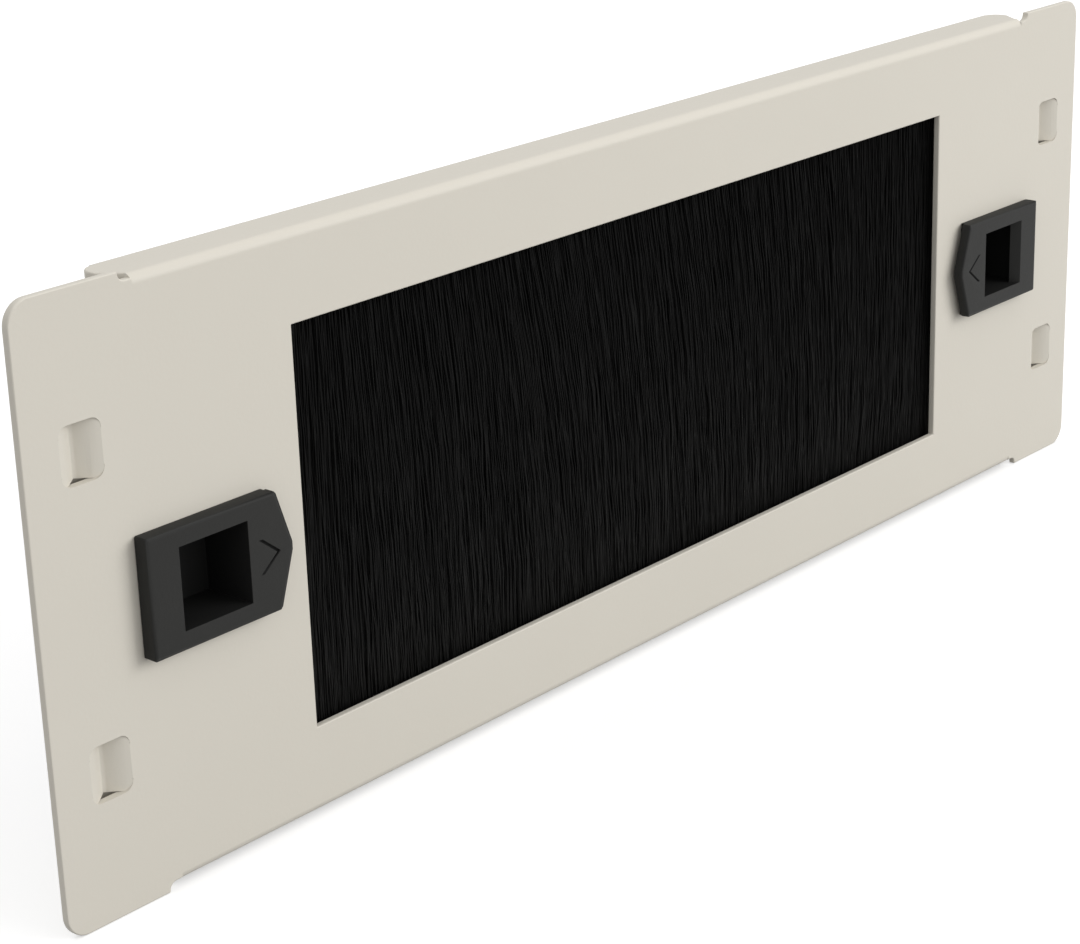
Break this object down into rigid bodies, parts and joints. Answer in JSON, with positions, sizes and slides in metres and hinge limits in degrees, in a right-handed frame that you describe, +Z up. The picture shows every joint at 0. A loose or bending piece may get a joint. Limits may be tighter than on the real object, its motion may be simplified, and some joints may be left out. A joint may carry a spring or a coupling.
{
  "type": "rack cable feedthrough panel",
  "caption": "Folded steel rack panel with a wide cable window closed by a bristle curtain, held by sprung finger latches at its ends.",
  "frame": {"origin": "centre of the panel, on the plane where the ears' back faces meet the rack's rails", "axes": "+X along the panel to the right seen from the front, +Y back into the rack, +Z up"},
  "size_m": [0.254, 0.0105, 0.0882],
  "materials": {
    "panel_coat": "light grey powder coat",
    "zinc_steel": "zinc plated",
    "plain_wire": "plain",
    "bristle": "black nylon bristles",
    "stud_steel": "copper flashed and plated",
    "fastener_steel": "zinc plated",
    "latch_plastic": "fine matte texture",
    "catch_plastic": "satin",
    "guide_plastic": "satin",
    "spring_steel": "bright"
  },
  "bodies": {
    "panel": {"front_panel": "panel_coat", "brush_channel": "zinc_steel", "brush_core_wire": "plain_wire", "brush_bristles": "bristle", "brush_clamp": "zinc_steel", "clamp_studs": "stud_steel", "clamp_washers": "fastener_steel", "clamp_nuts": "fastener_steel", "latch_spring_left": "spring_steel", "latch_guide_left": "guide_plastic", "guide_studs_left": "stud_steel", "guide_washers_left": "fastener_steel", "guide_nuts_left": "fastener_steel", "latch_spring_right": "spring_steel", "latch_guide_right": "guide_plastic", "guide_studs_right": "stud_steel", "guide_washers_right": "fastener_steel", "guide_nuts_right": "fastener_steel"},
    "latch_left": {"latch_slider_left": "latch_plastic", "latch_catch_left": "catch_plastic"},
    "latch_right": {"latch_slider_right": "latch_plastic", "latch_catch_right": "catch_plastic"}
  },
  "joints": [
    {"name": "latch_left_slide", "type": "slide", "parent": "panel", "child": "latch_left", "axis": [1, 0, 0], "range_m": [0, 0.003], "stiffness_N_per_m": 400, "springref_m": -0.003, "deforming": ["latch_spring_left"]},
    {"name": "latch_right_slide", "type": "slide", "parent": "panel", "child": "latch_right", "axis": [-1, 0, 0], "range_m": [0, 0.003], "stiffness_N_per_m": 400, "springref_m": -0.003, "deforming": ["latch_spring_right"]}
  ]
}
